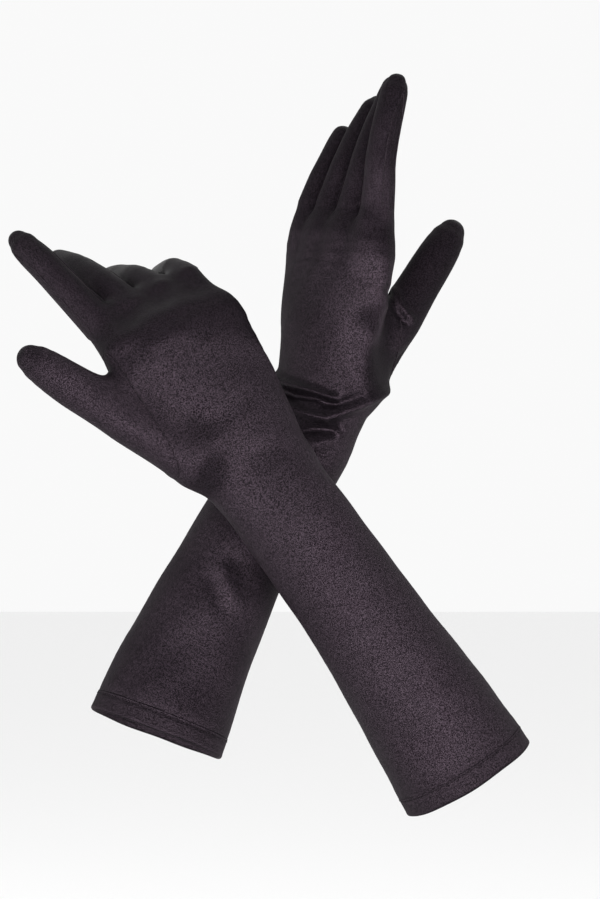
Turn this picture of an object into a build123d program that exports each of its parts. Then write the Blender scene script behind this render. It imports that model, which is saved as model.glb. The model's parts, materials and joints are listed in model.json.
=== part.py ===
from build123d import *
import math
import os

# Pair of elbow-length gloves in stretch satin, held in the shape that two crossed,
# raised arms give them. Every piece of each glove is its own solid.
#
# Model frame: origin at the centre of the right glove's arm opening, +Z up, both
# backs of the hand towards -Y. The right glove is in front, the left one behind it.
#
# Every piece is placed by planes that are carried along the arm, the hand and the
# fingers. In such a plane +Z points to the fingertips, +X to the thumb side, and
# the back of the hand is at +Y on the right glove and at -Y on the left one.

# ---- Fabric, millimetres ----------------------------------------------------------
WALL = 1.0  # satin with its seam allowance, taken as one thickness
GAP = 0.5  # between pieces on different bodies
THREAD = 0.4  # thickness of a stitch

# ---- Hem and sleeve ---------------------------------------------------------------
HEM_RADIUS = 35.4
HEM_HEIGHT = 10.0
HEM_WALL = 2 * WALL  # the hem is folded double
STITCH_HEIGHT = 8.7  # above the edge of the hem
STITCH_LENGTH = 2.0
STITCH_COUNT = 66
STITCH_CLEARANCE = 0.05  # between the stitches and the hem they lie on

SLEEVE_LENGTH = 184.0  # arm opening to wrist
BOW_STEPS = 8  # parts of the sleeve's slight bow
SLEEVE_SECTIONS = [  # distance from the arm opening, half width, half depth
    (HEM_HEIGHT, HEM_RADIUS, HEM_RADIUS),
    (30, 33.8, 33.4),
    (50, 32.2, 31.4),
    (95, 28.6, 27.4),
    (140, 28.0, 24.8),
    (169, 27.8, 22.5),
]

# ---- Hand -------------------------------------------------------------------------
HAND_SECTIONS = [  # distance from the wrist, half width, half depth, shift to the thumb
    (15, 30.8, 19.6, 0.5),
    (30, 33.0, 18.8, 1.2),
    (46, 36.5, 18.0, 2.2),
    (62, 38.2, 16.6, 2.5),
    (77, 39.0, 15.0, 2.5),
]
KNUCKLE_DISTANCE = 82.0  # wrist to the first of the knuckles' two bends
KNUCKLE_SHIFT = 2.5
BEND_SPACING = 8.0
ROOT_DISTANCE = 10.0  # second bend to the roots of the fingers
KNUCKLE_SIZE = (38.6, 13.8)  # half width and half depth at the first bend
WEB_SIZE = (36.0, 12.6)  # at the second bend
HAND_END = (35.0, 11.5)  # at the roots of the fingers

# ---- Fingers ----------------------------------------------------------------------
FINGERS = {
    "index": dict(across=26.0, root=8.9, tip=7.2, length=75.0),
    "middle": dict(across=7.6, root=9.0, tip=7.4, length=78.0),
    "ring": dict(across=-10.5, root=8.6, tip=7.0, length=69.0),
    "little": dict(across=-27.1, root=7.6, tip=6.2, length=52.0),
}
STRETCH = 7.5  # half the length of the zone where a finger folds on the hand
MIDDLE_JOINT = 0.40  # of the finger's length
END_JOINT = 0.68
JOINT_LENGTH = 8.0  # length of finger that takes one bend
FLATNESS = 0.95  # half depth of a finger, of its half width
TIP_CLOSED = 0.03  # least squared width of the rounded tip, of the finger's
TIP_SHARE = (0.45, 0.7, 0.85, 0.94, 1.0)  # stations from the end joint to the tip
GUSSET_SHARE = 0.42  # half width of a side strip, of the finger's half depth
GUSSET_END = 0.93  # of the finger's length

# ---- Blocks that cut a wall into its pieces -----------------------------------------
CUT_OVER = 5.0  # beyond the wall's ends
CUT_REACH = 80.0  # to each side
CUT_HEIGHT = 4.0  # over the middle, as a share of the half depth

# ---- Thumb ------------------------------------------------------------------------
THUMB_ROOT = [  # distance along the thumb, half width, half depth
    (0, 13.4, 11.6),
    (14, 14.6, 12.6),
    (28, 14.2, 13.0),
    (38, 13.4, 12.5),
]
THUMB_STALL = [
    (56, 12.0, 11.4),
    (66, 11.6, 11.0),
    (78, 11.2, 10.7),
    (90, 10.3, 10.0),
    (99, 8.8, 8.6),
    (104, 6.2, 6.0),
    (106, 2.7, 2.6),
]
SEAM_WIDTH = 0.9  # of the raised seam where the thumb is set in

# ---- How each glove is held, degrees ----------------------------------------------
# lean: turned from upright towards the thumb. tilt: towards the palm. roll: about its
# own length. bow: how far the sleeve turns between arm opening and wrist. Each finger
# has its fan, its fold on the hand, and the bends of its middle and end joints.
POSES = {
    "right": dict(
        side=1,
        opening=(0, 0, 0),
        sleeve=dict(lean=31.5, tilt=-5, roll=8),
        bow=6.4,
        hand=dict(lean=30, tilt=-3, roll=23),
        knuckles=39,
        fingers=dict(
            index=(5, -19, 1, 8),
            middle=(1, 2, 12, 10),
            ring=(0, 17, 17, 8),
            little=(-4, 21, 25, 3),
        ),
        thumb=dict(place=(25, 3, 19), lean=29, tilt=3, roll=40),
    ),
    "left": dict(
        side=-1,
        opening=(-158, 40, 20),
        sleeve=dict(lean=21, tilt=7, roll=30),
        bow=17,
        hand=dict(lean=5, tilt=-2, roll=51),
        knuckles=3,
        fingers=dict(
            index=(-2, -4, 9, 4),
            middle=(1, 8, 7, 4),
            ring=(1, 13, 8, 3),
            little=(1, 16, 6, 2),
        ),
        thumb=dict(place=(14, -7, 12), lean=3, tilt=31, roll=60),
    ),
}


# ---- Planes carried along a glove --------------------------------------------------
def carried(plane, side, x=0, y=0, z=0, tilt=0, lean=0, roll=0):
    """The plane moved in its own frame, then turned to the palm, to the thumb, and rolled."""
    place = plane.location * Pos(x, side * y, z)
    return Plane(place * Rotation(side * tilt, lean, side * roll))


def upright(point, side, lean, tilt, roll):
    """A plane at the point, facing up, then leaned, tilted and rolled."""
    start = Plane(origin=point, x_dir=(-side, 0, 0), z_dir=(0, 0, 1))
    return carried(carried(start, side, lean=lean), side, tilt=tilt, roll=roll)


def sleeve_plane(pose, distance):
    """The plane across the sleeve, straight in the hem and bowed beyond it."""
    side = pose["side"]
    in_hem = min(distance, HEM_HEIGHT)
    beyond = distance - in_hem
    turn = pose["bow"] * beyond / SLEEVE_LENGTH / BOW_STEPS
    plane = carried(upright(pose["opening"], side, **pose["sleeve"]), side, z=in_hem)
    for _ in range(BOW_STEPS):
        plane = carried(plane, side, lean=turn / 2)
        plane = carried(plane, side, z=beyond / BOW_STEPS)
        plane = carried(plane, side, lean=turn / 2)
    return plane


def hand_planes(pose):
    """The planes of the hand at the wrist, at the knuckles' two bends and at the finger roots."""
    side = pose["side"]
    wrist = upright(sleeve_plane(pose, SLEEVE_LENGTH).origin, side, **pose["hand"])
    bend = pose["knuckles"] / 2
    knuckle = carried(wrist, side, x=KNUCKLE_SHIFT, z=KNUCKLE_DISTANCE, tilt=bend)
    web = carried(knuckle, side, z=BEND_SPACING, tilt=bend)
    roots = carried(web, side, z=ROOT_DISTANCE)
    return wrist, knuckle, web, roots


def finger_radius(finger, distance):
    size = FINGERS[finger]
    return size["root"] + (size["tip"] - size["root"]) * distance / size["length"]


def finger_planes(pose, finger):
    """The root and hinge planes of a finger, and its stall's (distance, plane) stations."""
    side = pose["side"]
    size = FINGERS[finger]
    fan, fold, middle_bend, end_bend = pose["fingers"][finger]
    roots = hand_planes(pose)[3]
    root = carried(roots, side, x=size["across"])
    hinge = carried(root, side, z=STRETCH, tilt=fold, lean=fan)
    distance = 2 * STRETCH
    plane = carried(hinge, side, z=STRETCH)
    stations = [(distance, plane)]
    half = JOINT_LENGTH / 2
    for share, bend in ((MIDDLE_JOINT, middle_bend), (END_JOINT, end_bend)):
        joint = share * size["length"]
        plane = carried(plane, side, z=joint - half - distance)
        stations.append((joint - half, plane))
        plane = carried(plane, side, z=half, tilt=bend / 2)
        stations.append((joint, plane))
        plane = carried(plane, side, tilt=bend / 2)
        plane = carried(plane, side, z=half)
        distance = joint + half
        stations.append((distance, plane))
    rest = size["length"] - distance
    for share in TIP_SHARE:
        stations.append((distance + share * rest, carried(plane, side, z=share * rest)))
    return root, hinge, stations


def thumb_plane(pose):
    x, y, z = pose["thumb"]["place"]
    turns = {key: pose["thumb"][key] for key in ("lean", "tilt", "roll")}
    return carried(hand_planes(pose)[0], pose["side"], x=x, y=y, z=z, **turns)


# ---- Solids -------------------------------------------------------------------------
def filled(stations):
    """A solid lofted through oval stations: plane, half width, half depth."""
    with BuildPart() as solid:
        for plane, half_width, half_depth in stations:
            with BuildSketch(plane):
                Ellipse(half_width, half_depth)
        loft(ruled=True)
    return solid.part


def thinner(stations, wall):
    return [(plane, width - wall, depth - wall) for plane, width, depth in stations]


def tube(stations, wall=WALL):
    """A wall lofted through the stations, open at both ends."""
    with BuildPart() as walls:
        add(filled(stations))
        add(filled(thinner(stations, wall)), mode=Mode.SUBTRACT)
    return walls.part


def stall(stations):
    """A wall lofted through the stations, open at the first and closed at the last."""
    with BuildPart() as walls:
        add(filled(stations))
        add(filled(thinner(stations[:-1], WALL)), mode=Mode.SUBTRACT)
    return walls.part


def side_region(stations, side, low, high, reach):
    """The block seen from the thumb side between two lines that follow the stations.

    low and high give each line's height over the middle, as a share of the half depth,
    and reach gives how far the block goes to the little finger and to the thumb.
    """
    start = stations[0][0]
    face = Plane(origin=start.origin, x_dir=start.z_dir, z_dir=start.x_dir)
    rows = []
    for share in (low, high):
        row = []
        for plane, _, half_depth in stations:
            point = plane.from_local_coords((0, side * share * half_depth, 0))
            row.append(face.to_local_coords(point))
        rows.append([(point.X, point.Y) for point in row])
    with BuildPart() as block:
        with BuildSketch(face.offset(reach[0])):
            with BuildLine():
                Polyline(*rows[0], *reversed(rows[1]), close=True)
            make_face()
        extrude(amount=reach[1] - reach[0])
    return block.part


def longer(stations, start, end, side):
    """The stations with one more beyond each end, so that a region covers the part."""
    first = stations[0]
    last = stations[-1]
    before = (carried(first[0], side, z=-start), *first[1:])
    after = (carried(last[0], side, z=end), first[1], first[2])
    return [before, *stations, after]


def halves(walls, stations, side):
    """The walls cut into the back half and the palm half."""
    rows = longer(stations, CUT_OVER, CUT_OVER, side)
    region = side_region(rows, side, 0, CUT_HEIGHT, (-CUT_REACH, CUT_REACH))
    with BuildPart() as back:
        add(walls)
        add(region, mode=Mode.INTERSECT)
    with BuildPart() as palm:
        add(walls)
        add(region, mode=Mode.SUBTRACT)
    return back.part, palm.part


# ---- Pieces of one glove -------------------------------------------------------------
def hem(pose):
    """The arm opening's edge: a double fold and its ring of stitches."""
    edge = sleeve_plane(pose, 0)
    with BuildPart() as fold:
        with BuildSketch(edge):
            Circle(HEM_RADIUS)
            Circle(HEM_RADIUS - HEM_WALL, mode=Mode.SUBTRACT)
        extrude(amount=HEM_HEIGHT)
    stitch_radius = HEM_RADIUS + STITCH_CLEARANCE + THREAD / 2
    with BuildPart(edge.offset(STITCH_HEIGHT)) as stitches:
        with PolarLocations(stitch_radius, STITCH_COUNT):
            Box(THREAD, STITCH_LENGTH, THREAD)
    return {"hem": fold.part, "hem_thread": stitches.part}


def sleeve(pose):
    stations = [(sleeve_plane(pose, d), width, depth) for d, width, depth in SLEEVE_SECTIONS]
    middle = sleeve_plane(pose, 0)
    walls = tube(stations)
    split_plane = Plane(
        origin=middle.origin, x_dir=middle.x_dir, z_dir=middle.y_dir * pose["side"]
    )
    pieces = {}
    for name, keep in (("sleeve_back", Keep.TOP), ("sleeve_palm", Keep.BOTTOM)):
        with BuildPart() as piece:
            add(walls)
            split(bisect_by=split_plane, keep=keep)
        pieces[name] = piece.part
    return pieces


def hand_stations(pose):
    side = pose["side"]
    wrist, knuckle, web, roots = hand_planes(pose)
    stations = []
    for distance, width, depth, shift in HAND_SECTIONS:
        stations.append((carried(wrist, side, x=shift, z=distance), width, depth))
    stations.append((knuckle, *KNUCKLE_SIZE))
    stations.append((web, *WEB_SIZE))
    stations.append((roots, *HAND_END))
    return stations


def wrist_stations(pose):
    side = pose["side"]
    distance, width, depth = SLEEVE_SECTIONS[-1]
    from_sleeve = (carried(sleeve_plane(pose, distance), side, z=GAP), width, depth)
    plane, width, depth = hand_stations(pose)[0]
    return [from_sleeve, (carried(plane, side, z=-GAP), width, depth)]


def wrist_zone(pose):
    """The stretch of fabric that folds between sleeve and hand."""
    return {"wrist": tube(wrist_stations(pose))}


def thumb_root_stations(pose):
    plane = thumb_plane(pose)
    side = pose["side"]
    return [(carried(plane, side, z=d), width, depth) for d, width, depth in THUMB_ROOT]


def thumb_zone_stations(pose):
    """From the end of the thumb's root to the start of its stall."""
    side = pose["side"]
    end, end_width, end_depth = thumb_root_stations(pose)[-1]
    distance, width, depth = THUMB_STALL[0]
    start = carried(thumb_plane(pose), side, z=distance - GAP)
    return [(carried(end, side, z=GAP), end_width, end_depth), (start, width, depth)]


def hand(pose):
    """Back and palm of the hand, with the hole where the thumb is set in."""
    stations = hand_stations(pose)
    thumb_solid = filled(
        thumb_root_stations(pose) + thinner(thumb_zone_stations(pose), -GAP)
    )
    with BuildPart() as walls:
        add(tube(stations))
        add(thumb_solid, mode=Mode.SUBTRACT)
    back, palm = halves(walls.part, stations, pose["side"])
    return {"hand_back": back, "hand_palm": palm}


def thumb(pose):
    """The set-in thumb: its root on the hand, its folding zone and its stall."""
    side = pose["side"]
    plane = thumb_plane(pose)
    with BuildPart() as root:
        add(tube(thumb_root_stations(pose)))
        add(filled(hand_stations(pose)), mode=Mode.SUBTRACT)
        add(filled(thinner(wrist_stations(pose), -GAP)), mode=Mode.SUBTRACT)
    stations = [(carried(plane, side, z=d), width, depth) for d, width, depth in THUMB_STALL]
    zone = tube(thumb_zone_stations(pose))
    return {"thumb_root": root.part, "thumb_base": zone, "thumb_stall": stall(stations)}


def thumb_seam(pose):
    """The raised seam in the corner between the hand and the thumb's root."""
    root = thumb_root_stations(pose)
    hand_shape = hand_stations(pose)
    with BuildPart() as welt:
        add(filled(thinner(root, -SEAM_WIDTH)))
        add(filled(thinner(hand_shape, -SEAM_WIDTH)), mode=Mode.INTERSECT)
        add(filled(root), mode=Mode.SUBTRACT)
        add(filled(hand_shape), mode=Mode.SUBTRACT)
        add(filled(thinner(wrist_stations(pose), -GAP)), mode=Mode.SUBTRACT)
        add(filled(thinner(thumb_zone_stations(pose), -2 * GAP)), mode=Mode.SUBTRACT)
    return {"thumb_seam": welt.part}


def finger_pieces(pose, finger):
    """One finger: the zone that folds at its root, and the strips of its stall."""
    side = pose["side"]
    root, hinge, planes = finger_planes(pose, finger)
    size = FINGERS[finger]
    stations = []
    for distance, plane in planes:
        radius = finger_radius(finger, distance)
        over = max(0.0, distance - size["length"] + radius) / radius
        rounding = math.sqrt(max(TIP_CLOSED, 1 - over * over))
        stations.append((plane, radius * rounding, radius * rounding * FLATNESS))
    start = stations[0][0]
    base_radius = finger_radius(finger, 0)
    zone = tube(
        [
            (carried(root, side, z=GAP), base_radius, HAND_END[1]),
            (hinge, finger_radius(finger, STRETCH), finger_radius(finger, STRETCH)),
            (carried(start, side, z=-GAP), stations[0][1], stations[0][2]),
        ]
    )
    walls = stall(stations)

    reach = size["root"] + CUT_OVER
    inner = finger in ("index", "middle", "ring")  # has a neighbour towards the little finger
    outer = finger in ("middle", "ring", "little")  # has a neighbour towards the thumb
    ends = [i for i, (d, _) in enumerate(planes) if d <= GUSSET_END * size["length"]]
    strip = longer(stations[: ends[-1] + 1], CUT_OVER, 0, side)[:-1]
    sides = {}
    if inner:
        sides["gusset_little_side"] = (-reach, 0)
    if outer:
        sides["gusset_thumb_side"] = (0, reach)
    pieces = {"base": zone}
    bands = []
    for name, span in sides.items():
        band = side_region(strip, side, -GUSSET_SHARE, GUSSET_SHARE, span)
        bands.append(band)
        with BuildPart() as gusset:
            add(walls)
            add(band, mode=Mode.INTERSECT)
        pieces[name] = gusset.part
    with BuildPart() as rest:
        add(walls)
        for band in bands:
            add(band, mode=Mode.SUBTRACT)
    back, palm = halves(rest.part, stations, side)
    pieces["back"] = back
    pieces["palm"] = palm
    return {f"{finger}_{name}": piece for name, piece in pieces.items()}


def glove(name):
    """Every piece of one glove, by node name."""
    pose = POSES[name]
    pieces = {}
    for make in (hem, sleeve, wrist_zone, hand, thumb, thumb_seam):
        pieces.update(make(pose))
    for finger in FINGERS:
        pieces.update(finger_pieces(pose, finger))
    return {f"{name}_{piece}": part for piece, part in pieces.items()}


def main():
    os.makedirs("parts", exist_ok=True)
    for name in POSES:
        for node, part in glove(name).items():
            part.label = node
            export_step(part, f"parts/{node}.step")


if __name__ == "__main__":
    main()
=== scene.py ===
import json
import math

import bmesh
import bpy
import numpy as np
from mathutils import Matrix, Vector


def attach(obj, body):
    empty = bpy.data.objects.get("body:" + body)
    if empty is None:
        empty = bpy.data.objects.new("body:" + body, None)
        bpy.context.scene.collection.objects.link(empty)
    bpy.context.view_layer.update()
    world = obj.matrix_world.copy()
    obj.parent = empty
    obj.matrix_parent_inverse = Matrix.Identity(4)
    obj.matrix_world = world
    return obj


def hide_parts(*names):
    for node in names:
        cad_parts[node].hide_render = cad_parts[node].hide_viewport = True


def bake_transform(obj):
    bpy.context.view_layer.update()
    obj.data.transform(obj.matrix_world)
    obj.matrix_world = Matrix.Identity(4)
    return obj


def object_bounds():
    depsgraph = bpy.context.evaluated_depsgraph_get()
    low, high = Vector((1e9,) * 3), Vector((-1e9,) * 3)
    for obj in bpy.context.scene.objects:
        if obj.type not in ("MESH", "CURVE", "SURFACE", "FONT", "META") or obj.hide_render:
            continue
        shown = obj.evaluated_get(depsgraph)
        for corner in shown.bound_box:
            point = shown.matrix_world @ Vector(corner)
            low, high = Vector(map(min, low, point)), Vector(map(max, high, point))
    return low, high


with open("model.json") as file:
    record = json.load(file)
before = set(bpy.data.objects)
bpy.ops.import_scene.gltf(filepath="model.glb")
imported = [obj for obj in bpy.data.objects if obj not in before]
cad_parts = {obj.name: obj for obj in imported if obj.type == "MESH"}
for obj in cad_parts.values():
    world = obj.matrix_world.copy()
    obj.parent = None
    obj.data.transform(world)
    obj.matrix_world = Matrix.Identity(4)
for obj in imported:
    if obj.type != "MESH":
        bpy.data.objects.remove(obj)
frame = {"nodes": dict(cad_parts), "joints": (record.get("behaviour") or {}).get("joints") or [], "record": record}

import openvdb
from mathutils import Vector

CAD_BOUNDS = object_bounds()

# ---- Sizes, metres -------------------------------------------------------------------
MM = 0.001
GRID = 1.15 * MM  # spacing of the grid that the skin is drawn on
MARCH = 5 * MM  # spacing of the stations read off the CAD pieces
FABRIC = 0.6 * MM
FAR = 60 * MM  # a distance beyond every blend
LIMB_REACH = 14 * MM  # how near a station turns the yarns along its limb
HEM_HEIGHT = 10 * MM
HEM_WALL = 2 * MM
HEM_SIDES = 160
STITCH_HEIGHT = 8.7 * MM
STITCH_SIZE = (0.85 * MM, 0.28 * MM, 0.26 * MM)  # half length, depth and height
STITCHES = 96
ROOT_BEFORE_HINGE = 7.5 * MM  # the fingers' roots, below each finger's hinge
SEAM_OUT = 12.5 * MM  # the visible thumb seam, outside the middle of the CAD seam
SEAM_RADIUS = 0.42 * MM
WELT_STEP = 1.5 * MM  # between the points of the cord round the thumb
STRIP_ANGLE = 0.434  # from a finger's side to the edge of its side strip, radians
HAND_FILLET = 8 * MM  # between the hand and the fingers
THUMB_FILLET = 13 * MM  # between the hand and the thumb
WEB_FILLET = 5 * MM
WEB_LENGTH = {"right": 9 * MM, "left": 0}  # beyond the hinges: fabric stretched between fingers

FINGERS = ("index", "middle", "ring", "little")
THUMB = len(FINGERS)  # its number among the digits
GLOVES = {"right": "root", "left": "left_sleeve"}  # and the body that each sleeve rides on
ARM_NODES = ("hem", "sleeve_back", "sleeve_palm", "wrist", "hand_back", "hand_palm")
JOINTS = {joint["name"]: joint for joint in frame["joints"]}
MOUNTS = {mount["name"]: mount for mount in frame["record"]["mounts"]}
TO_VIEWER = np.array((0, -1, 0))

# Folds, seen from the front: places (right, up) from the wrist, width and height, mm.
FOLDS = {
    "right": [
        ([(-74, 64), (-58, 68), (-40, 72)], 6, 0.9),
        ([(-66, 58), (-62, 60)], 4, -0.7),
        ([(-57, 39), (-49, 33), (-41, 27)], 12, -2.4),
        ([(-76, 38), (-68, 33)], 6, -1.0),
        ([(-20, 20), (-8, 30), (2, 36)], 5, 0.3),
        ([(-26, 2), (-10, 10), (4, 14)], 5, -0.3),
        ([(24, -52), (36, -62), (50, -70)], 6, 0.35),
    ],
    "left": [
        ([(-28, 25), (-20, 17), (-11, 14), (6, 8)], 2.3, 2.9),
        ([(-24, 14), (-14, 10), (-4, 9), (6, 6)], 1.9, -2.2),
        ([(-24, 8), (-10, 1), (2, -2), (18, 5), (36, 14)], 2.6, 2.8),
        ([(0, 5), (10, 6), (20, 9)], 2.0, -1.2),
        ([(-23, 0), (-12, -8), (-4, -7), (5, -8)], 3.0, -2.8),
        ([(-12, -18), (-2, -15), (10, -8)], 3.5, 1.0),
        ([(33, 64), (37, 55), (42, 48)], 1.8, -1.6),
        ([(37, 64), (41, 55), (46, 49)], 1.8, 1.2),
        ([(34, 50), (36, 40), (37, 30)], 3, -0.5),
        ([(-50, -79), (-44, -94)], 4, 0.5),
        ([(-56, -84), (-51, -97)], 4, -0.4),
        ([(-43, -74), (-36, -88)], 5, -0.4),
        ([(21, 41), (30, 35), (37, 28)], 11, -3.0),
    ],
}

# The hem's section: height above the edge and distance outside the fold, mm.
HEM_PROFILE = [
    (10.2, -0.1), (9.3, 0.0), (8.7, -0.25), (8.1, 0.0),
    (6.0, 0.08), (4.0, 0.12), (2.0, 0.25), (0.8, 0.35),
    (0.1, 0.15), (-0.2, -0.25), (0.0, -0.8), (0.6, -1.2),
    (2.5, -1.3), (8.0, -1.3), (9.6, -1.2), (10.2, -0.7),
]

# ---- Satin -----------------------------------------------------------------------------
WEAVE_SCALE = 1700  # noise cells in a metre
PATCH_SCALE = 22
DULL_YARN = (0.22, 0.163, 0.207, 1)
BRIGHT_YARN = (1.0, 0.74, 0.94, 1)
GLOSS = 0.145
SHEEN = 0.9  # how far the gloss stretches across the yarns

# ---- Lights and camera, metres and watts, from the middle of the pair --------------------
KEY_PLACE = (0.22, -1.45, -0.34)
KEY_SIZE = (1.2, 0.5)  # width and height
KEY_POWER = 170
FILL_PLACE = (-1.4, -1.1, 0.05)
FILL_SIZE = (0.8, 0.8)
FILL_POWER = 32
WORLD_STRENGTH = 0.95
CAMERA_FROM_MIDDLE = (0.0151, -2.2128, -0.0033)
FLOOR_BELOW = 0.12  # under the lowest point


def unit(vector):
    return vector / np.linalg.norm(vector)


# ---- Reading the CAD pieces ------------------------------------------------------------
def edge_ends(names):
    """Both ends of every mesh edge of the named CAD pieces."""
    ends = []
    for name in names:
        mesh = frame["nodes"][name].data
        points = np.empty(len(mesh.vertices) * 3)
        mesh.vertices.foreach_get("co", points)
        edges = np.empty(len(mesh.edges) * 2, int)
        mesh.edges.foreach_get("vertices", edges)
        ends.append(points.reshape(-1, 3)[edges.reshape(-1, 2)])
    return np.concatenate(ends)


def middle_of(names):
    return edge_ends(names).reshape(-1, 3).mean(axis=0)


def section(ends, centre, forward, reach):
    """Where the edges cross the plane at the centre, within reach of it."""
    height = (ends - centre) @ forward
    crossing = (height[:, 0] < 0) != (height[:, 1] < 0)
    low, high = ends[crossing, 0], ends[crossing, 1]
    start, end = height[crossing, 0], height[crossing, 1]
    points = low + (high - low) * (start / (start - end))[:, None]
    return points[np.linalg.norm(points - centre, axis=1) < reach]


def station(points, centre, forward, across):
    """Centre, across, up, half width and half depth of the tube where it is cut."""
    side = unit(across - forward * (across @ forward))
    up = np.cross(forward, side)
    wide = (points - centre) @ side
    deep = (points - centre) @ up
    middle = centre + side * (wide.max() + wide.min()) / 2 + up * (deep.max() + deep.min()) / 2
    return middle, side, up, (wide.max() - wide.min()) / 2, (deep.max() - deep.min()) / 2


def follow(names, way, across, reach):
    """Stations along a tube of CAD pieces that runs by the places of the way."""
    ends = edge_ends(names)
    stations = []
    centre = way[0]
    forward = unit(way[1] - way[0])
    target = 1
    while target < len(way):
        points = section(ends, centre, forward, reach)
        if len(points) > 12:
            stations.append(station(points, centre, forward, across))
            centre = stations[-1][0]
        while target < len(way) and (way[target] - centre) @ forward < MARCH:
            target += 1
        if target < len(way):
            forward = unit(2 * forward + unit(way[target] - centre))
            centre = centre + forward * MARCH
    return stations


def march(names, centre, forward, across, reach):
    """Stations along a tube of CAD pieces from the centre to its tip."""
    ends = edge_ends(names)
    forward = unit(forward)
    stations = []
    missed = 0
    while missed < 3:
        points = section(ends, centre, forward, reach)
        if len(points) < 12:
            missed += 1
            centre = centre + forward * 1.1 * MM
            continue
        found = station(points, centre, forward, across)
        if stations:
            forward = unit(forward + unit(found[0] - stations[-1][0]))
        stations.append(found)
        missed = 0
        centre = found[0] + forward * MARCH
    return stations


def moved(place, offset, width, depth):
    """The station moved, with its width and depth multiplied."""
    return (place[0] + offset, place[1], place[2], place[3] * width, place[4] * depth)


# ---- Distance fields -------------------------------------------------------------------
def chain_distance(points, stations):
    """Distance from the points to the oval tube through the stations, negative inside."""
    centres = np.array([s[0] for s in stations])
    low, high = centres.min(axis=0) - FAR, centres.max(axis=0) + FAR
    near = np.nonzero(np.all((points > low) & (points < high), axis=1))[0]
    close = points[near]
    nearest = np.full(len(close), FAR)
    for first, second in zip(stations, stations[1:]):
        axis = second[0] - first[0]
        length = np.linalg.norm(axis)
        axis = axis / length
        offset = close - first[0]
        along = np.clip(offset @ axis / length, 0, 1)
        over = offset @ axis - along * length
        width = first[3] + (second[3] - first[3]) * along
        depth = first[4] + (second[4] - first[4]) * along
        side = unit(first[1] - axis * (first[1] @ axis))
        up = np.cross(axis, side)
        wide, deep, over = offset @ side / width, offset @ up / depth, over / depth
        size = np.sqrt(wide**2 + deep**2 + over**2) + 1e-6
        slope = np.sqrt((wide / width) ** 2 + (deep / depth) ** 2 + (over / depth) ** 2) + 1e-3
        nearest = np.minimum(nearest, (size - 1) * size / slope)
    distance = np.full(len(points), FAR)
    distance[near] = nearest
    return distance


def blended(first, second, radius):
    """The two shapes joined with a fillet of about the radius."""
    share = np.clip(0.5 + 0.5 * (second - first) / radius, 0, 1)
    return second + (first - second) * share - radius * share * (1 - share)


def glove_distance(points, glove):
    """Distance to the whole glove: arm and hand, thumb, fingers and webs."""
    bare = chain_distance(points, glove["arm"])
    joined = blended(bare, chain_distance(points, glove["thumb"]), THUMB_FILLET)
    for chain in glove["fingers"]:
        joined = np.minimum(joined, blended(bare, chain_distance(points, chain), HAND_FILLET))
    for chain in glove["webs"]:
        joined = blended(joined, chain_distance(points, chain), WEB_FILLET)
    return joined


def grid_points(low, counts, spacing):
    axes = [low[i] + spacing * np.arange(counts[i]) for i in range(3)]
    return np.stack(np.meshgrid(*axes, indexing="ij"), -1).reshape(-1, 3)


def skin(distance, low, high):
    """The surface where the distance is zero, inside the box from low to high."""
    step = 4
    blocks = np.ceil((high - low) / (GRID * step)).astype(int) + 1
    rough = distance(grid_points(low, blocks, GRID * step)).reshape(blocks)
    field = rough.repeat(step, 0).repeat(step, 1).repeat(step, 2)
    field = np.roll(field, (-step // 2,) * 3, (0, 1, 2)).astype(np.float32)
    near = np.nonzero(np.abs(field).reshape(-1) < GRID * step * 1.5)[0]
    index = np.stack(np.unravel_index(near, field.shape), -1)
    field.reshape(-1)[near] = distance(low + index * GRID)
    grid = openvdb.FloatGrid(1.0)
    grid.copyFromArray(field)
    points, triangles, quads = grid.convertToPolygons(0.0, 0.0)
    mesh = bpy.data.meshes.new("skin")
    faces = [tuple(map(int, face)) for face in quads] + [tuple(map(int, face)) for face in triangles]
    mesh.from_pydata((np.asarray(points) * GRID + low).tolist(), [], faces)
    shape = bmesh.new()
    shape.from_mesh(mesh)
    bpy.data.meshes.remove(mesh)
    return shape


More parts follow.
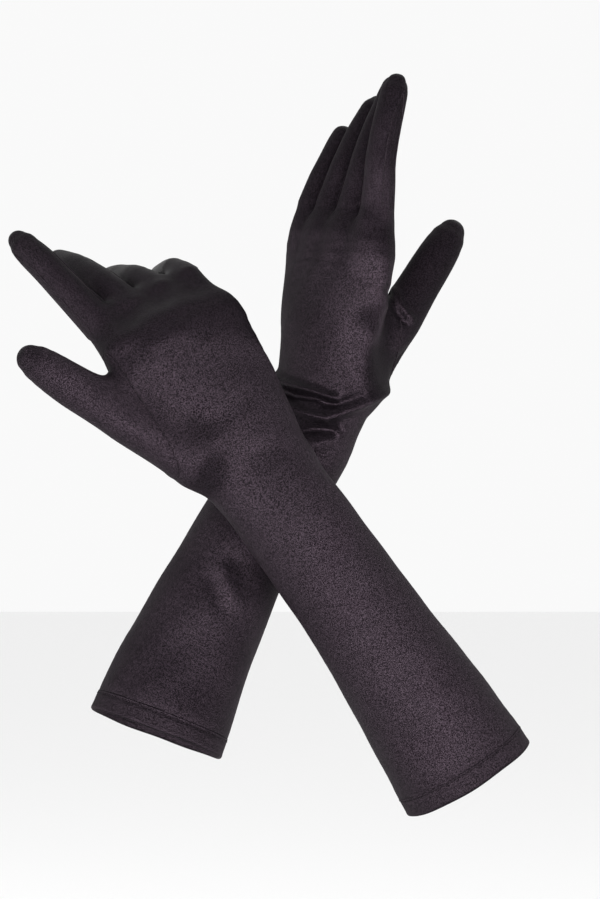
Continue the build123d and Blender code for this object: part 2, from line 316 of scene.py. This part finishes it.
# ---- One glove's shape -----------------------------------------------------------------
def read_glove(name):
    """Chains of stations, planes and places of one glove, read off the CAD pieces."""
    wrist = np.array(JOINTS[f"{name}_wrist"]["pos_m"])
    across = np.array(JOINTS[f"{name}_wrist"]["axis"]) * (1 if name == "right" else -1)
    opening = MOUNTS[f"{name}_arm_opening"]
    edge = np.array(opening["pos_m"])
    inward = -unit(np.array(opening["axis"]))
    hinges = [np.array(JOINTS[f"{name}_{finger}"]["pos_m"]) for finger in FINGERS]
    knuckles = np.mean(hinges, axis=0)
    hand_axis = unit(knuckles - wrist)
    way = [edge + inward * 2 * MM, edge + inward * 40 * MM, wrist, knuckles - hand_axis * 12 * MM]
    arm = follow([f"{name}_{node}" for node in ARM_NODES], way, across, 48 * MM)
    forward = unit(arm[-1][0] - arm[-4][0])
    roots = knuckles - forward * ROOT_BEFORE_HINGE
    arm = [s for s in arm if (roots - s[0]) @ forward > s[4] * 0.8]

    fingers, axes = [], []
    for finger, hinge in zip(FINGERS, hinges):
        axes.append(np.array(JOINTS[f"{name}_{finger}"]["axis"]))
        nodes = finger_nodes(name, finger)
        ends = edge_ends([n for n in nodes if not n.endswith("_base")]).reshape(-1, 3)
        near = ends[np.linalg.norm(ends - hinge, axis=1) < 22 * MM].mean(axis=0)
        chain = march(nodes, hinge, near - hinge, axes[-1], 16 * MM)
        inside = moved(chain[0], -forward * 22 * MM, 1.0, 1.15)
        root = moved(chain[0], -forward * ROOT_BEFORE_HINGE, 1.02, 1.18)
        fingers.append([inside, root] + chain)

    webs = []
    length = WEB_LENGTH[name]
    webbed = fingers if length else []
    for first, second in zip(webbed, webbed[1:]):
        start, end = between(first, second, 1, 0.8), between(first, second, 4, 0.72)
        share = length / (3 * MARCH)
        tip = [a + (b - a) * share for a, b in zip(start, end)]
        webs.append([moved(start, -forward * 6 * MM, 1, 1.1), start, tuple(tip)])

    hinge = np.array(JOINTS[f"{name}_thumb"]["pos_m"])
    thumb_forward = unit(middle_of([f"{name}_thumb_stall"]) - hinge)
    axis = np.array(JOINTS[f"{name}_thumb"]["axis"])
    thumb_nodes = [f"{name}_thumb_base", f"{name}_thumb_stall"]
    chain = march(thumb_nodes, hinge, thumb_forward, axis, 20 * MM)
    thumb = [moved(chain[0], -thumb_forward * 40 * MM, 1.12, 1.1)] + chain

    seam = edge_ends([f"{name}_thumb_seam"]).reshape(-1, 3)
    seam_place = seam.mean(axis=0)
    flat = np.linalg.svd(seam[::9] - seam_place, full_matrices=False)[2][2]
    flat = unit(flat - hand_axis * (flat @ hand_axis))
    flat = flat * np.sign(flat @ (hinge - seam_place))
    seam_normal = unit(flat + 0.05 * hand_axis)
    return dict(
        name=name, wrist=wrist, edge=edge, inward=inward, hinges=hinges, roots=roots,
        forward=forward, arm=arm, fingers=fingers, webs=webs, thumb=thumb,
        seam_place=seam_place + seam_normal * SEAM_OUT, seam_normal=seam_normal,
    )


def finger_nodes(name, finger):
    return [node for node in frame["nodes"] if node.startswith(f"{name}_{finger}_")]


def between(first, second, number, size):
    """A station half way between two fingers, as wide as the space between them."""
    one, two = first[number], second[number]
    gap = np.linalg.norm(one[0] - two[0]) / 2
    depth = (one[4] + two[4]) / 2 * size
    return (one[0] + two[0]) / 2, unit(one[1] + two[1]), unit(one[2] + two[2]), gap, depth


def stroke_distance(flat, places):
    """How far each point (right, up) is from the line through the places."""
    nearest = np.full(len(flat), 1.0)
    for first, second in zip(places, places[1:]):
        first, second = np.array(first) * MM, np.array(second) * MM
        axis = second - first
        along = np.clip((flat - first) @ axis / (axis @ axis), 0, 1)[:, None]
        nearest = np.minimum(nearest, np.linalg.norm(flat - first - along * axis, axis=1))
    return nearest


def folds(points, normals, glove):
    """How far the folds and the fabric's slight waves push the skin out."""
    flat = (points - glove["wrist"])[:, (0, 2)]
    facing = np.clip(normals @ TO_VIEWER * 3 + 0.9, 0, 1)
    push = np.zeros(len(points))
    for places, width, height in FOLDS[glove["name"]]:
        away = stroke_distance(flat, places)
        push += height * MM * np.exp(-((away / (width * MM)) ** 2))
    push *= facing
    for length, direction in ((31, (0.7, 0.2, 0.5)), (19, (-0.4, 0.8, 0.6)), (43, (0.1, -0.6, 1.0))):
        wave = points @ np.array(direction) * 2 * math.pi / (length * MM)
        push += 0.12 * MM * np.sin(wave + length)
    return push


def limb_directions(points, chains):
    """The direction of the arm, hand or finger at each point."""
    centres = np.concatenate([[s[0] for s in chain] for chain in chains])
    axes = np.concatenate([np.gradient([s[0] for s in chain], axis=0) for chain in chains])
    along = np.zeros((len(points), 3))
    for centre, axis in zip(centres, axes):
        away = np.linalg.norm(points - centre, axis=1)
        along += unit(axis) * np.exp(-((away / LIMB_REACH) ** 2))[:, None]
    return along


def whole_skin(glove):
    """The glove in one skin, smoothed and folded, with its digits numbered."""
    chains = [glove["arm"], glove["thumb"], *glove["fingers"]]
    centres = np.array([s[0] for chain in chains for s in chain])
    margin = 42 * MM
    low, high = centres.min(axis=0) - margin, centres.max(axis=0) + margin
    shape = skin(lambda points: glove_distance(points, glove), low, high)
    for _ in range(3):
        bmesh.ops.smooth_vert(shape, verts=shape.verts[:], factor=0.5, use_axis_x=True,
                              use_axis_y=True, use_axis_z=True)
    bmesh.ops.recalc_face_normals(shape, faces=shape.faces[:])
    shape.normal_update()
    points = np.array([vertex.co for vertex in shape.verts])
    normals = np.array([vertex.normal for vertex in shape.verts])
    points = points + normals * folds(points, normals, glove)[:, None]
    for vertex, place in zip(shape.verts, points):
        vertex.co = place
    shape.normal_update()
    smooth = shape.verts.layers.float_vector.new("smooth_normal")
    around = shape.verts.layers.float_vector.new("around")
    digit = shape.faces.layers.int.new("digit")
    along = limb_directions(points, chains)
    for vertex, direction in zip(shape.verts, along):
        vertex[smooth] = vertex.normal
        vertex[around] = Vector(direction).cross(vertex.normal).normalized()
    centres = np.array([face.calc_center_median() for face in shape.faces])
    digits = [*glove["fingers"], glove["thumb"]]
    nearest = np.argmin([chain_distance(centres, chain) for chain in digits], axis=0)
    nearest[(centres - glove["roots"]) @ glove["forward"] < -2 * GRID] = THUMB
    for face, number in zip(shape.faces, nearest):
        face[digit] = number
        face.smooth = True
    return shape


# ---- Pieces ----------------------------------------------------------------------------
def largest_island(shape):
    """The faces of the largest connected part."""
    left = set(shape.faces)
    best = set()
    while left:
        island = set()
        queue = [left.pop()]
        while queue:
            face = queue.pop()
            island.add(face)
            for edge in face.edges:
                for other in edge.link_faces:
                    if other in left:
                        left.discard(other)
                        queue.append(other)
        if len(island) > len(best):
            best = island
    return best


def piece_of(shape, name, cuts, digit_wanted=None):
    """The part of the skin before every cut, with the whole skin's smooth shading."""
    part = shape.copy()
    if digit_wanted is not None:
        digit = part.faces.layers.int["digit"]
        others = [face for face in part.faces if face[digit] != digit_wanted]
        bmesh.ops.delete(part, geom=others, context="FACES")
    for point, normal in cuts:
        geometry = part.verts[:] + part.edges[:] + part.faces[:]
        bmesh.ops.bisect_plane(part, geom=geometry, plane_co=Vector(point),
                               plane_no=Vector(normal), clear_outer=True)
    kept = largest_island(part)
    bmesh.ops.delete(part, geom=[face for face in part.faces if face not in kept], context="FACES")
    for edge in part.edges:
        edge.smooth = not edge.is_boundary
    mesh = bpy.data.meshes.new(name)
    part.to_mesh(mesh)
    part.free()
    normals = np.empty(len(mesh.vertices) * 3)
    mesh.attributes["smooth_normal"].data.foreach_get("vector", normals)
    mesh.normals_split_custom_set_from_vertices(normals.reshape(-1, 3).tolist())
    mesh.attributes.remove(mesh.attributes["smooth_normal"])
    mesh.attributes.remove(mesh.attributes["digit"])
    return mesh


def linked(name, mesh, material):
    piece = bpy.data.objects.new(name, mesh)
    bpy.context.scene.collection.objects.link(piece)
    mesh.materials.append(material)
    return piece


def thickened(piece):
    """Gives the skin its thickness, inwards."""
    wall = piece.modifiers.new("fabric", "SOLIDIFY")
    wall.thickness = FABRIC
    wall.offset = -1
    return piece


def build_skin(glove):
    name = glove["name"]
    shape = whole_skin(glove)
    wrist, edge, inward = glove["wrist"], glove["edge"], glove["inward"]
    roots, forward = glove["roots"], glove["forward"]
    seam_place, seam_normal = glove["seam_place"], glove["seam_normal"]
    hand = f"{name}_hand"

    cuts = [(edge + inward * HEM_HEIGHT, -inward), (roots, forward), (seam_place, seam_normal)]
    mesh = piece_of(shape, f"{name}_trunk", cuts)
    trunk = thickened(linked(f"{name}_trunk", mesh, SATIN))
    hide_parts(*[f"{name}_{node}" for node in ARM_NODES[1:]])
    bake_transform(trunk)

    mesh = piece_of(shape, f"{name}_thumb_skin", [(seam_place, -seam_normal)], THUMB)
    thumb = thickened(linked(f"{name}_thumb_skin", mesh, SATIN))
    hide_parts(*[f"{name}_thumb_{node}" for node in ("root", "base", "stall")])
    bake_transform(thumb)

    welt = tube_mesh(f"{name}_thumb_welt", [(cut_edge(mesh), True)], SEAM_RADIUS)
    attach(linked(f"{name}_thumb_welt", welt, THREAD), hand)
    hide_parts(f"{name}_thumb_seam")

    for number, finger in enumerate(FINGERS):
        mesh = piece_of(shape, f"{name}_{finger}_skin", [(roots, -forward)], number)
        skin_piece = thickened(linked(f"{name}_{finger}_skin", mesh, SATIN))
        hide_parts(*finger_nodes(name, finger))
        chain, hinge = glove["fingers"][number], glove["hinges"][number]
        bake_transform(skin_piece)
        cords = tube_mesh(f"{name}_{finger}_seams", finger_seams(chain), SEAM_RADIUS)
        seams = linked(f"{name}_{finger}_seams", cords, SEAM)
        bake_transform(seams)
    shape.free()


def rounded_mesh(name, vertices, faces):
    """A smooth-shaded mesh with its faces turned outwards."""
    mesh = bpy.data.meshes.new(name)
    mesh.from_pydata(vertices, [], faces)
    shape = bmesh.new()
    shape.from_mesh(mesh)
    bmesh.ops.recalc_face_normals(shape, faces=shape.faces[:])
    for face in shape.faces:
        face.smooth = True
    shape.to_mesh(mesh)
    shape.free()
    return mesh


def tube_mesh(name, lines, radius):
    """Round cords of one radius along the lines; a line is (points, closed)."""
    vertices, faces = [], []
    sides = 8
    for points, closed in lines:
        start = len(vertices)
        count = len(points)
        for i in range(count):
            before = points[i - 1] if closed or i else points[0]
            after = points[(i + 1) % count] if closed or i + 1 < count else points[-1]
            along = unit(after - before)
            one = unit(np.cross(along, (0.31, 0.52, 0.79)))
            two = np.cross(along, one)
            size = radius if closed or 0 < i < count - 1 else radius * 0.3
            for j in range(sides):
                turn = 2 * math.pi * j / sides
                place = points[i] + (one * math.cos(turn) + two * math.sin(turn)) * size
                vertices.append(tuple(place))
        for i in range(count if closed else count - 1):
            for j in range(sides):
                a, b = start + i * sides, start + (i + 1) % count * sides
                k = (j + 1) % sides
                faces.append((a + j, a + k, b + k, b + j))
        if not closed:
            faces.append(tuple(start + j for j in range(sides)))
            faces.append(tuple(start + (count - 1) * sides + j for j in reversed(range(sides))))
    return rounded_mesh(name, vertices, faces)


def cut_edge(mesh):
    """The open edge of a piece that has one, as a closed line of evenly spaced points."""
    shape = bmesh.new()
    shape.from_mesh(mesh)
    links = {}
    for edge in shape.edges:
        if len(edge.link_faces) == 1:
            for one, other in (edge.verts, reversed(edge.verts)):
                links.setdefault(one.index, []).append(other.index)
    best = []
    while links:
        start = next(iter(links))
        loop = [start]
        while links.get(loop[-1]):
            following = links[loop[-1]].pop()
            if following in links and loop[-1] in links[following]:
                links[following].remove(loop[-1])
            if not links[loop[-1]]:
                del links[loop[-1]]
            if following == start:
                break
            loop.append(following)
        links = {key: value for key, value in links.items() if value and key not in loop}
        if len(loop) > len(best):
            best = loop
    shape.verts.ensure_lookup_table()
    points = np.array([shape.verts[i].co for i in best])
    shape.free()
    closed = np.vstack([points, points[:1]])
    steps = np.linalg.norm(np.diff(closed, axis=0), axis=1)
    lengths = np.append(0, np.cumsum(steps))
    places = np.linspace(0, lengths[-1], int(lengths[-1] / WELT_STEP) + 1)[:-1]
    even = np.stack([np.interp(places, lengths, closed[:, i]) for i in range(3)], -1)
    for _ in range(4):
        even = (np.roll(even, 1, 0) + 2 * even + np.roll(even, -1, 0)) / 4
    return even


def finger_seams(chain):
    """The lines where the side strips are sewn to the back and the palm strip."""
    lines = []
    last = len(chain) - 2
    for side in (-1, 1):
        for face in (-1, 1):
            points = []
            for number in range(2, last + 1):
                centre, across, up, width, depth = chain[number]
                closing = min(1.0, (last - number) / 2.5)
                angle = STRIP_ANGLE * closing
                sideways = across * side * width * math.cos(angle)
                points.append(centre + sideways + up * face * depth * math.sin(angle))
            lines.append((smooth_line(points), False))
    return lines


def smooth_line(points):
    """The line with three more points in each step, rounded."""
    points = np.array(points)
    places = np.linspace(0, len(points) - 1, (len(points) - 1) * 4 + 1)
    fine = np.stack([np.interp(places, range(len(points)), points[:, i]) for i in range(3)], -1)
    for _ in range(4):
        fine[1:-1] = (fine[:-2] + 2 * fine[1:-1] + fine[2:]) / 4
    return fine


def round_frame(inward):
    side = unit(np.cross(inward, (0, 1, 0)))
    return side, np.cross(inward, side)


def run_around(mesh, axis):
    """Stores the direction round the axis at each point of the mesh, for the satin's sheen."""
    normals = np.array([vertex.normal for vertex in mesh.vertices])
    directions = np.cross(axis, normals) + np.cross(axis, (0.03, 0.02, 0.01))
    layer = mesh.attributes.new("around", "FLOAT_VECTOR", "POINT")
    layer.data.foreach_set("vector", directions.reshape(-1).tolist())


def build_hem(glove, body):
    """The double fold round the arm opening, and its row of stitches."""
    name, edge, inward = glove["name"], glove["edge"], glove["inward"]
    radius = MOUNTS[f"{name}_arm_opening"]["dims"]["r_mm"] * MM + HEM_WALL
    side, up = round_frame(inward)
    count = len(HEM_PROFILE)
    vertices, faces = [], []
    for i in range(HEM_SIDES):
        turn = 2 * math.pi * i / HEM_SIDES
        out = side * math.cos(turn) + up * math.sin(turn)
        wave = 0.25 * math.sin(3 * turn + 1) + 0.15 * math.sin(7 * turn)
        for height, over in HEM_PROFILE:
            loose = wave * max(0.0, 1 - height / 10)
            place = edge + inward * (height + loose) * MM + out * (radius + (over + 0.3 * loose) * MM)
            vertices.append(tuple(place))
        for j in range(count):
            a, b = i * count + j, i * count + (j + 1) % count
            following = (i + 1) % HEM_SIDES * count
            faces.append((a, b, following + (j + 1) % count, following + j))
    mesh = rounded_mesh(f"{name}_hem_fold", vertices, faces)
    run_around(mesh, inward)
    fold = linked(f"{name}_hem_fold", mesh, HEM_SATIN)
    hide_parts(f"{name}_hem")
    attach(fold, body)

    stitches = bmesh.new()
    for i in range(STITCHES):
        turn = 2 * math.pi * (i + 0.5) / STITCHES
        out = side * math.cos(turn) + up * math.sin(turn)
        tangent = np.cross(inward, out)
        centre = edge + inward * STITCH_HEIGHT + out * (radius - 0.05 * MM)
        made = bmesh.ops.create_icosphere(stitches, subdivisions=2, radius=1.0)
        for vertex in made["verts"]:
            x, y, z = np.array(vertex.co) * STITCH_SIZE
            vertex.co = Vector(centre + tangent * x + out * y + inward * z)
    for face in stitches.faces:
        face.smooth = True
    mesh = bpy.data.meshes.new(f"{name}_hem_stitches")
    stitches.to_mesh(mesh)
    stitches.free()
    thread = linked(f"{name}_hem_stitches", mesh, THREAD)
    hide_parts(f"{name}_hem_thread")
    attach(thread, body)


# ---- Materials -------------------------------------------------------------------------
def satin(name, colour, roughness, grain, sheen):
    """Black stretch satin: fine grain, slow changes of gloss, and a sheen across the yarns."""
    material = bpy.data.materials.new(name)
    material.use_nodes = True
    nodes, links = material.node_tree.nodes, material.node_tree.links
    shader = nodes["Principled BSDF"]
    place = nodes.new("ShaderNodeTexCoord")
    weave = nodes.new("ShaderNodeTexNoise")
    weave.inputs["Scale"].default_value = WEAVE_SCALE
    weave.inputs["Detail"].default_value = 2
    weave.inputs["Roughness"].default_value = 0.6
    slow = nodes.new("ShaderNodeTexNoise")
    slow.inputs["Scale"].default_value = PATCH_SCALE
    slow.inputs["Detail"].default_value = 2
    shades = nodes.new("ShaderNodeValToRGB")
    shades.color_ramp.elements[0].position = 0.36
    shades.color_ramp.elements[1].position = 0.66
    shades.color_ramp.elements[0].color = (*[c * 0.35 for c in colour], 1)
    shades.color_ramp.elements[1].color = (*[c * 1.8 for c in colour], 1)
    wear = nodes.new("ShaderNodeMapRange")
    wear.inputs["To Min"].default_value = roughness - 0.06
    wear.inputs["To Max"].default_value = roughness + 0.08
    bump = nodes.new("ShaderNodeBump")
    bump.inputs["Strength"].default_value = grain
    bump.inputs["Distance"].default_value = 0.25 * MM
    links.new(place.outputs["Object"], weave.inputs["Vector"])
    links.new(place.outputs["Object"], slow.inputs["Vector"])
    links.new(weave.outputs["Fac"], shades.inputs["Fac"])
    links.new(shades.outputs["Color"], shader.inputs["Base Color"])
    links.new(slow.outputs["Fac"], wear.inputs["Value"])
    links.new(wear.outputs["Result"], shader.inputs["Roughness"])
    links.new(weave.outputs["Fac"], bump.inputs["Height"])
    links.new(bump.outputs["Normal"], shader.inputs["Normal"])
    glints = nodes.new("ShaderNodeValToRGB")
    glints.color_ramp.elements[0].position = 0.43
    glints.color_ramp.elements[1].position = 0.57
    glints.color_ramp.elements[0].color = DULL_YARN
    glints.color_ramp.elements[1].color = BRIGHT_YARN
    links.new(weave.outputs["Fac"], glints.inputs["Fac"])
    links.new(glints.outputs["Color"], shader.inputs["Specular Tint"])
    shader.inputs["Specular IOR Level"].default_value = GLOSS
    if sheen:
        yarns = nodes.new("ShaderNodeAttribute")
        yarns.attribute_name = "around"
        links.new(yarns.outputs["Vector"], shader.inputs["Tangent"])
        shader.inputs["Anisotropic"].default_value = sheen
    return material


SATIN = satin("satin", (0.0026, 0.002, 0.0026), 0.5, 0.7, SHEEN)
HEM_SATIN = satin("hem satin", (0.0024, 0.0019, 0.0024), 0.54, 0.7, SHEEN)
SEAM = satin("seam", (0.0034, 0.0027, 0.0033), 0.6, 0.3, 0)
THREAD = satin("thread", (0.002, 0.0015, 0.0019), 0.6, 0.2, 0)

for glove_name, body in GLOVES.items():
    glove_shape = read_glove(glove_name)
    build_skin(glove_shape)
    build_hem(glove_shape, body)

# ---- Stage -----------------------------------------------------------------------------
low, high = (Vector(corner) for corner in CAD_BOUNDS)
middle = (low + high) / 2
PALE = bpy.data.materials.new("pale floor")
PALE.use_nodes = True
PALE.node_tree.nodes["Principled BSDF"].inputs["Base Color"].default_value = (0.9, 0.9, 0.9, 1)
PALE.node_tree.nodes["Principled BSDF"].inputs["Roughness"].default_value = 0.9
bpy.ops.mesh.primitive_plane_add(size=12, location=(middle.x, middle.y, low.z - FLOOR_BELOW))
floor = bpy.context.object
floor.name = "floor"
floor.data.materials.append(PALE)

world = bpy.data.worlds.new("studio")
bpy.context.scene.world = world
world.use_nodes = True
world.node_tree.nodes["Background"].inputs["Color"].default_value = (1, 1, 1, 1)
world.node_tree.nodes["Background"].inputs["Strength"].default_value = WORLD_STRENGTH


def softbox(name, place, width, height, power):
    light = bpy.data.lights.new(name, "AREA")
    light.shape = "RECTANGLE"
    light.size = width
    light.size_y = height
    light.energy = power
    lamp = bpy.data.objects.new(name, light)
    lamp.location = middle + Vector(place)
    lamp.rotation_euler = (-Vector(place)).to_track_quat("-Z", "Y").to_euler()
    bpy.context.scene.collection.objects.link(lamp)


softbox("key", KEY_PLACE, *KEY_SIZE, KEY_POWER)
softbox("fill", FILL_PLACE, *FILL_SIZE, FILL_POWER)

camera_data = bpy.data.cameras.new("camera")
camera_data.sensor_width = 36
camera_data.lens = 176
camera_data.clip_end = 20
camera = bpy.data.objects.new("camera", camera_data)
camera.location = middle + Vector(CAMERA_FROM_MIDDLE)
camera.rotation_euler = (math.pi / 2, 0, 0)
bpy.context.scene.collection.objects.link(camera)
bpy.context.scene.camera = camera
bpy.context.scene.view_settings.view_transform = "Standard"
